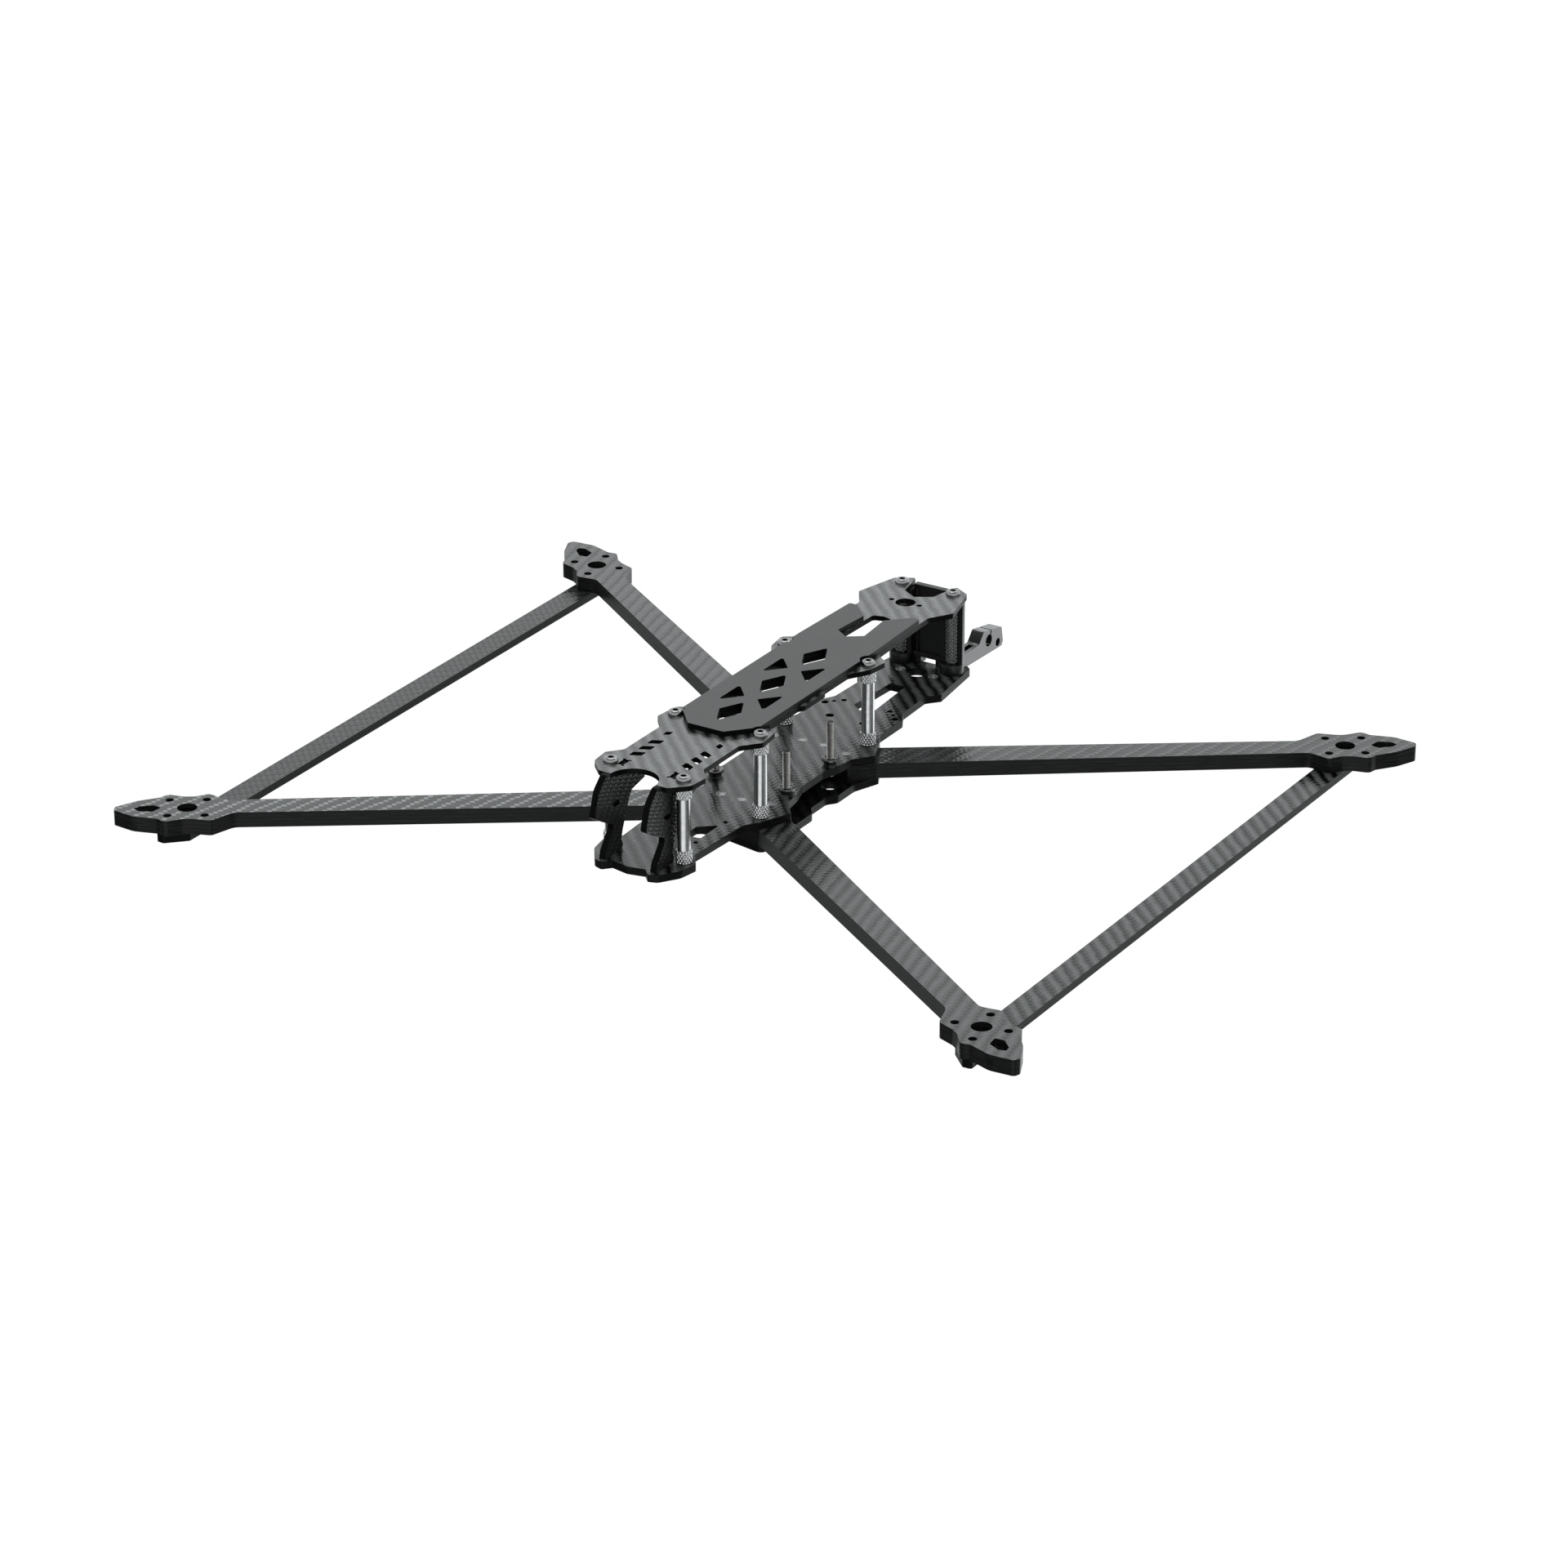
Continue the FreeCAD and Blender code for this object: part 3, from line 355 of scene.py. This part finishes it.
def finish_plates():
    up = (0.0, 0.0, 1.0)
    # The three cut-edge copies are one laminate edge; their levels and sheen differ with how light falls on
    # each part: painted shade.
    top_edge = cut_edge("top_cut_edge", up, 0.0015, 0.04)
    deck_edge = cut_edge("deck_cut_edge", up, 0.002, 0.06)
    arm_edge = cut_edge("arm_cut_edge", up, 0.003, 0.09, 3.0)
    # One carbon cloth for all three plates: the lower level of the middle plate and the near-black level of
    # the bottom plate are painted shade under the plates above them.
    for node, level, band, gloss, side in (("top_plate", 0.04, 0.95, 1.62, top_edge),
                                           ("mid_plate", 0.03, 1.0, 1.38, deck_edge),
                                           ("bottom_plate", 0.004, 0.7, 1.4, deck_edge)):
        cloth = weave("carbon_" + node, (1, 0, 0), (0, -1, 0), level, band, gloss=gloss)
        dress(node, up, cloth, side, PLATE_CHAMFER)
    # The braces are one cloth: the left brace's lower level and weaker ribs are painted shade, its glint on
    # single crossings a painted highlight, and the right brace's strong ribs painted sheen.
    cloth = weave("carbon_brace_left", (0, 1, 0), (1, 0, 0), 0.016, 0.35, gloss=1.35, painted_glint=0.4)
    dress("brace_left", up, cloth, top_edge, PLATE_CHAMFER)
    cloth = weave("carbon_brace_right", (0, -1, 0), (1, 0, 0), 0.03, 1.25, gloss=1.36)
    dress("brace_right", up, cloth, top_edge, PLATE_CHAMFER)
    for side in ("left", "right"):
        # the upright cage faces get a very low cloth level: painted shade
        cloth = weave("carbon_cage_" + side, (0, 1, 0), (0, 0, 1), 0.008, 0.3, 0.25, 0.2, 1.25, CAGE_TOW)
        edge = cut_edge("cage_cut_edge_" + side, (1, 0, 0), 0.001, 0.03)
        dress("camera_plate_" + side, (1, 0, 0), cloth, edge, CAGE_CHAMFER)
    for name, (level, band, painted_glint) in ARM_PAINTED_LIGHT.items():
        sx = 1 if name.endswith("right") else -1
        sy = 1 if name.startswith("rear") else -1
        out = (sx * math.cos(ARM_ANGLE), sy * math.sin(ARM_ANGLE), 0)
        over = (-sx * math.sin(ARM_ANGLE), sy * math.cos(ARM_ANGLE), 0)
        cloth = weave("carbon_arm_painted_light_" + name, out, over, level, band, painted_glint=painted_glint)
        dress("arm_" + name, up, cloth, arm_edge, ARM_CHAMFER)
    # The sides are the same foam as the top, made near-black as painted shade.
    dress("battery_pad", up, rubber("pad_top", 0.028, 0.34), rubber("pad_side_painted_shade", 0.001, 0.06), PAD_CHAMFER)
    mount = printed("mount_plastic", 0.002, 0.35)
    paint(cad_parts["rear_mount"], mount)
    for side in ("left", "right"):
        paint(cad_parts["antenna_arm_" + side], printed("antenna_plastic_" + side, 0.003, 0.65, 0.2))
    for node in ("rear_mount", "antenna_arm_left", "antenna_arm_right"):
        soften(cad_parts[node], PRINT_CHAMFER)


# ------------------------------------------------------------------ turned and threaded pieces
class Turned:
    """Mesh built from rings round vertical axes; several pieces can share one object."""

    def __init__(self, name, segments=48):
        self.name = name
        self.segments = segments
        self.mesh = bmesh.new()
        self.painted_shade_sockets = []

    def ring(self, x, y, z, radius):
        """Ring whose radius is a number or a function of the angle."""
        points = []
        for k in range(self.segments):
            angle = TAU * k / self.segments
            r = radius(angle) if callable(radius) else radius
            points.append(self.mesh.verts.new((x + r * math.cos(angle), y + r * math.sin(angle), z)))
        return points

    def bands(self, rings):
        """Quads between following rings."""
        for lower, upper in zip(rings, rings[1:]):
            for k in range(self.segments):
                after = (k + 1) % self.segments
                self.mesh.faces.new((lower[k], lower[after], upper[after], upper[k]))

    def skin(self, rings):
        """Bands with both ends closed."""
        self.bands(rings)
        for ring in (rings[0], rings[-1]):
            middle = sum((vert.co for vert in ring), Vector()) / len(ring)
            pole = self.mesh.verts.new(middle)
            for k in range(self.segments):
                self.mesh.faces.new((ring[k], ring[(k + 1) % self.segments], pole))

    def stack(self, x, y, profile):
        """Solid from (radius, z) pairs listed along its outline."""
        self.skin([self.ring(x, y, z, radius) for radius, z in profile])

    def tube(self, x, y, profile):
        """Hollow solid from (radius, z) pairs listed once round its wall."""
        rings = [self.ring(x, y, z, radius) for radius, z in profile]
        self.bands(rings + rings[:1])

    def socket(self, x, y, mouth, way):
        """Mark a hexagon socket opening at height mouth, whose inside gets painted shade; way is 1 when it
        opens upwards.
        """
        floor = mouth - way * (SOCKET_DEPTH + 0.3 * MM)
        rim = mouth - way * 0.13 * MM
        self.painted_shade_sockets.append((x, y, SOCKET_RADIUS, min(floor, rim), max(floor, rim)))

    def finish(self, material, node, angle=32.0):
        bmesh.ops.recalc_face_normals(self.mesh, faces=self.mesh.faces)
        data = bpy.data.meshes.new(self.name)
        self.mesh.to_mesh(data)
        self.mesh.free()
        for face in data.polygons:
            face.use_smooth = True
        data.set_sharp_from_angle(angle=math.radians(angle))
        obj = bpy.data.objects.new(self.name, data)
        scene.collection.objects.link(obj)
        paint(obj, material)
        # faces inside each socket get the painted shade
        if self.painted_shade_sockets:
            data.materials.append(SOCKET_PAINTED_SHADE)
            for face in data.polygons:
                x, y, z = face.center
                inside = (math.hypot(x - a, y - b) < r and low < z < high
                          for a, b, r, low, high in self.painted_shade_sockets)
                if any(inside):
                    face.material_index = 1
        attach(obj, "root")
        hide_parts(node)
        return obj


def hexagon(radius):
    """Radius of a hexagon with that corner radius, by angle."""
    def at(angle):
        off = math.fmod(angle, TAU / 6) - TAU / 12
        return radius * math.cos(TAU / 12) / math.cos(off)
    return at


def solid_centres(node):
    """Plan centre and height range of each separate solid in a node."""
    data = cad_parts[node].data
    parent = {}
    keys = {}

    def find(a):
        while parent[a] != a:
            parent[a] = parent[parent[a]]
            a = parent[a]
        return a

    for vert in data.vertices:
        key = tuple(round(c * 1e6) for c in vert.co)
        keys[vert.index] = key
        parent.setdefault(key, key)
    for face in data.polygons:
        first = find(keys[face.vertices[0]])
        for index in face.vertices[1:]:
            other = find(keys[index])
            if other != first:
                parent[other] = first
    groups = {}
    for key in parent:
        groups.setdefault(find(key), []).append(key)
    found = []
    for members in groups.values():
        low = [min(m[axis] for m in members) * 1e-6 for axis in range(3)]
        high = [max(m[axis] for m in members) * 1e-6 for axis in range(3)]
        found.append(((low[0] + high[0]) / 2, (low[1] + high[1]) / 2, low[2], high[2]))
    return sorted(found)


HEAD_RADIUS = 2.75 * MM
HEAD_HEIGHT = 1.65 * MM
SOCKET_RADIUS = 1.15 * MM
SOCKET_DEPTH = 1.05 * MM
SHANK_RADIUS = 1.48 * MM
SUNK_HEAD_RADIUS = 2.85 * MM
NUT_FLANGE_RADIUS = 3.15 * MM
PRESS_NUT_RADIUS = 1.95 * MM


def button_profile(seat, way, tip):
    """Button head on a seat; way is 1 for a head above it and -1 for one below."""
    steps = 7
    top_radius = 1.55 * MM
    profile = [(SHANK_RADIUS * 0.75, tip), (SHANK_RADIUS, tip + way * 0.4 * MM), (SHANK_RADIUS, seat),
               (HEAD_RADIUS - 0.12 * MM, seat), (HEAD_RADIUS, seat + way * 0.1 * MM),
               (HEAD_RADIUS, seat + way * 0.32 * MM)]
    for k in range(1, steps + 1):
        turn = math.pi / 2 * k / steps
        radius = top_radius + (HEAD_RADIUS - top_radius) * math.cos(turn)
        rise = 0.32 * MM + (HEAD_HEIGHT - 0.32 * MM) * math.sin(turn)
        profile.append((radius, seat + way * rise))
    crown = seat + way * HEAD_HEIGHT
    profile += [(hexagon(SOCKET_RADIUS + 0.14 * MM), crown),
                (hexagon(SOCKET_RADIUS), crown - way * 0.12 * MM),
                (hexagon(SOCKET_RADIUS), crown - way * SOCKET_DEPTH),
                (hexagon(SOCKET_RADIUS * 0.3), crown - way * (SOCKET_DEPTH + 0.12 * MM))]
    return profile


def sunk_profile(base, tip):
    """Countersunk head flush with the underside."""
    cone = SUNK_HEAD_RADIUS
    return [(SHANK_RADIUS * 0.92, tip), (SHANK_RADIUS, tip - 0.12 * MM),
            (SHANK_RADIUS, base + cone - SHANK_RADIUS), (cone, base + 0.06 * MM),
            (cone - 0.08 * MM, base), (hexagon(SOCKET_RADIUS + 0.14 * MM), base),
            (hexagon(SOCKET_RADIUS), base + 0.12 * MM),
            (hexagon(SOCKET_RADIUS), base + SOCKET_DEPTH),
            (hexagon(SOCKET_RADIUS * 0.3), base + SOCKET_DEPTH + 0.1 * MM)]


def make_top_screws():
    screws = Turned("top_button_screws")
    for x, y, low, high in solid_centres("top_screws"):
        screws.stack(x, y, button_profile(high - HEAD_HEIGHT, 1, low))
        screws.socket(x, y, high, 1)
    screws.finish(STEEL, "top_screws")


def make_deck_screws():
    screws = Turned("deck_button_screws")
    for x, y, low, high in solid_centres("deck_screws"):
        screws.stack(x, y, button_profile(low + HEAD_HEIGHT, -1, high))
        screws.socket(x, y, low, -1)
    screws.finish(STEEL, "deck_screws")


def make_sunk_screws():
    for node in ("post_screws", "arm_screws"):
        screws = Turned(node.replace("screws", "sunk_screws"))
        for x, y, low, high in solid_centres(node):
            screws.stack(x, y, sunk_profile(low, high))
            screws.socket(x, y, low, -1)
        screws.finish(STEEL, node)


THREAD_PITCH = 0.5 * MM
THREAD_DEPTH = 0.3 * MM


def make_stack_studs():
    """Screws under the deck whose threaded shanks stand up through it."""
    studs = Turned("stack_studs", 40)
    per_pitch = 6
    for x, y, low, high in solid_centres("stack_screws"):
        seat = low + HEAD_HEIGHT
        rings = [studs.ring(x, y, z, r) for r, z in reversed(button_profile(seat, -1, high)[3:])]
        count = int((high - seat) / THREAD_PITCH * per_pitch)
        for k in range(count + 1):
            z = seat + (high - seat) * k / count
            fade = min(1.0, (high - z) / (0.5 * MM))

            def thread(angle, z=z, fade=fade):
                wave = math.fmod(z / THREAD_PITCH - angle / TAU + 100.0, 1.0)
                crest = abs(2 * wave - 1)
                return SHANK_RADIUS - THREAD_DEPTH * crest * fade - 0.25 * MM * (1 - fade)
            rings.append(studs.ring(x, y, z, thread))
        studs.skin(rings)
        studs.socket(x, y, low, -1)
    studs.finish(THREAD_STEEL, "stack_screws", 60.0)


def make_stack_nuts():
    nuts = Turned("stack_round_nuts")
    for x, y, low, high in solid_centres("stack_nuts"):
        flange = NUT_FLANGE_RADIUS
        nuts.stack(x, y, [
            (BORE_RADIUS, low + 0.02 * MM), (2.2 * MM, low), (2.35 * MM, low + 0.15 * MM),
            (2.4 * MM, low + 0.7 * MM), (2.75 * MM, low + 1.05 * MM), (flange - 0.12 * MM, low + 1.25 * MM),
            (flange, low + 1.45 * MM), (flange, high - 0.35 * MM), (flange - 0.1 * MM, high - 0.1 * MM),
            (flange - 0.35 * MM, high), (2.0 * MM, high), (1.8 * MM, high - 0.12 * MM),
            (1.52 * MM, high - 0.3 * MM)])
    nuts.finish(NUT_DARK, "stack_nuts")


def make_press_nuts():
    for node in ("press_nuts", "rear_inserts"):
        nuts = Turned("flush_" + node)
        for x, y, low, high in solid_centres(node):
            outer, bore, chamfer = PRESS_NUT_RADIUS, BORE_RADIUS, 0.1 * MM
            nuts.tube(x, y, [
                (bore, low + chamfer), (bore + chamfer, low), (outer - chamfer, low), (outer, low + chamfer),
                (outer, high - chamfer), (outer - chamfer, high), (bore + chamfer, high),
                (bore, high - chamfer)])
        nuts.finish(NUT_STEEL, node)


def knurled(base, depth, around, climb):
    """Radius function of a diamond knurl: two crossing sets of grooves."""
    def at(z):
        def radius(angle):
            turns = angle / TAU * around
            one = abs(math.fmod(turns + z / climb + 100.0, 1.0) * 2 - 1)
            two = abs(math.fmod(turns - z / climb + 100.0, 1.0) * 2 - 1)
            return base - depth * max(0.0, 1 - 2.2 * min(one, two))
        return radius
    return at


def knurl_rings(post, x, y, start, length, step, radius_at):
    """Rings along a knurled stretch of a post."""
    count = int(length / step)
    heights = [start + length * k / count for k in range(count + 1)]
    return [post.ring(x, y, z, radius_at(z)) for z in heights]


def make_posts():
    """Polished standoffs with a coarse diamond knurl at both ends."""
    shaft, outer, band = 2.45 * MM, 3.0 * MM, 5.0 * MM
    around, climb, step = 14, 1.9 * MM, 0.14 * MM
    margin = 0.25 * MM
    for node in POST_NODES:
        low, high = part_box(node)
        x, y = (low.x + high.x) / 2, (low.y + high.y) / 2
        post = Turned("turned_" + node, 112)
        radius_at = knurled(outer, 0.34 * MM, around, climb)
        length = band - 2 * margin
        rings = [post.ring(x, y, low.z, BORE_RADIUS), post.ring(x, y, low.z, outer - 0.35 * MM)]
        rings += knurl_rings(post, x, y, low.z + margin, length, step, radius_at)
        rings += [post.ring(x, y, low.z + band, outer - 0.4 * MM),
                  post.ring(x, y, low.z + band, shaft),
                  post.ring(x, y, high.z - band, shaft),
                  post.ring(x, y, high.z - band, outer - 0.4 * MM)]
        rings += knurl_rings(post, x, y, high.z - band + margin, length, step, radius_at)
        rings += [post.ring(x, y, high.z, outer - 0.35 * MM), post.ring(x, y, high.z, BORE_RADIUS)]
        post.skin(rings)
        post.finish(ALUMINIUM, node, 40.0)


def make_rear_posts():
    """Dark posts inside the rear mount: plain at the foot and knurled above it."""
    outer, plain, step = 2.5 * MM, 4.5 * MM, 0.16 * MM
    for node in REAR_POST_NODES:
        low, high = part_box(node)
        x, y = (low.x + high.x) / 2, (low.y + high.y) / 2
        post = Turned("turned_" + node, 96)
        radius_at = knurled(outer, 0.3 * MM, 12, 1.5 * MM)
        rings = [post.ring(x, y, low.z, BORE_RADIUS), post.ring(x, y, low.z, outer - 0.3 * MM),
                 post.ring(x, y, low.z + 0.2 * MM, outer - 0.15 * MM),
                 post.ring(x, y, low.z + plain, outer - 0.15 * MM)]
        length = high.z - low.z - plain - 0.5 * MM
        rings += knurl_rings(post, x, y, low.z + plain + 0.2 * MM, length, step, radius_at)
        rings += [post.ring(x, y, high.z, outer - 0.3 * MM), post.ring(x, y, high.z, BORE_RADIUS)]
        post.skin(rings)
        post.finish(DARK_POST, node, 40.0)


# ------------------------------------------------------------------ stage, light and camera
def make_floor():
    data = bpy.data.meshes.new("floor")
    half = 6.0
    z = cad_low.z - 0.05 * MM
    data.from_pydata([(-half, -half, z), (half, -half, z), (half, half, z), (-half, half, z)], [],
                     [(0, 1, 2, 3)])
    floor = bpy.data.objects.new("floor", data)
    scene.collection.objects.link(floor)
    n = Surface("floor_white")
    cloud = n.noise(n.place(), 3.0, 2.0)
    n.set(Base_Color=n.mix(cloud, (0.02, 0.02, 0.02, 1), (0.03, 0.03, 0.03, 1)), Roughness=0.9,
          Emission_Color=(1, 1, 1, 1), Emission_Strength=1.0, Specular_IOR_Level=0.0)
    paint(floor, n.material)
    floor.visible_glossy = False


# What polished pieces see below the horizon, by compass direction in degrees from the front: brightness.
LOW_STUDIO = ((-180, 1.9), (-150, 1.3), (-112, 0.9), (-88, 0.4), (-62, 0.12), (-28, 0.12), (-8, 1.2),
              (12, 1.9), (42, 1.7), (62, 0.65), (82, 0.3), (105, 0.4), (126, 0.8), (150, 2.3), (180, 1.9))
LOW_PEAK = 2.5            # largest brightness the table may hold
HIGH_STUDIO = 1.35        # from the horizon to 45 degrees up
ZENITH_STUDIO = 0.5       # straight above, between the softboxes
BACKDROP = 1.2            # what the camera itself sees behind the frame


def make_world():
    """Plain white to the camera; softly uneven low down, so that metal has something to reflect."""
    world = bpy.data.worlds.new("studio")
    world.use_nodes = True
    tree = world.node_tree
    background = tree.nodes["Background"]
    n = Nodes(tree)
    look = tree.nodes.new("ShaderNodeTexCoord").outputs["Generated"]
    x, y, z = n.separate(look)
    compass = n.maths("DIVIDE", n.maths("ARCTAN2", x, n.maths("MULTIPLY", y, -1.0)), TAU)
    ramp = tree.nodes.new("ShaderNodeFloatCurve")
    curve = ramp.mapping.curves[0]
    points = [((angle + 180) / 360, value / LOW_PEAK) for angle, value in LOW_STUDIO]
    curve.points[0].location, curve.points[1].location = points[0], points[-1]
    for point in points[1:-1]:
        curve.points.new(*point)
    ramp.mapping.update()
    n.link(n.maths("ADD", compass, 0.5), ramp.inputs["Value"])
    low = n.maths("MULTIPLY", ramp.outputs["Value"], LOW_PEAK)
    high = n.blend(n.spread(z, 0.65, 0.85), HIGH_STUDIO, ZENITH_STUDIO)
    strength = n.blend(n.spread(z, -0.15, 0.1), low, high)
    seen = tree.nodes.new("ShaderNodeLightPath").outputs["Is Camera Ray"]
    n.link(n.blend(seen, strength, BACKDROP), background.inputs["Strength"])
    n.link(n.mix(seen, (0.955, 0.99, 1.0, 1), (1, 1, 1, 1)), background.inputs["Color"])
    scene.world = world


def make_light(name, place, size, watts):
    """Square softbox turned towards the origin."""
    data = bpy.data.lights.new(name, "AREA")
    data.shape = "SQUARE"
    data.size = size
    data.energy = watts
    lamp = bpy.data.objects.new(name, data)
    lamp.location = place
    lamp.rotation_mode = "QUATERNION"
    lamp.rotation_quaternion = (-Vector(place)).to_track_quat("-Z", "Y")
    scene.collection.objects.link(lamp)


def make_camera():
    """Long lens, 31.7 degrees round from the front and 24.6 degrees up."""
    azimuth, elevation, distance = math.radians(31.7257), math.radians(24.6489), 2.1504
    target = Vector((7.10 * MM, -3.71 * MM, 9.0 * MM))
    back = Vector((math.sin(azimuth) * math.cos(elevation), -math.cos(azimuth) * math.cos(elevation),
                   math.sin(elevation)))
    data = bpy.data.cameras.new("camera")
    data.sensor_width = 36.0
    data.lens = 135.344
    data.clip_start, data.clip_end = 0.05, 50.0
    camera = bpy.data.objects.new("camera", data)
    camera.location = target + back * distance
    camera.rotation_mode = "QUATERNION"
    camera.rotation_quaternion = (-back).to_track_quat("-Z", "Y")
    scene.collection.objects.link(camera)
    scene.camera = camera


scene.view_settings.view_transform = "Standard"
scene.view_settings.look = "None"
make_floor()
make_world()
make_light("softbox_top", (-0.5, 0.6, 1.4), 0.6, 6.0)
make_light("softbox_back", (0.1, 1.15, 1.35), 0.35, 3.0)
make_camera()
finish_plates()
make_top_screws()
make_deck_screws()
make_sunk_screws()
make_stack_studs()
make_stack_nuts()
make_press_nuts()
make_posts()
make_rear_posts()
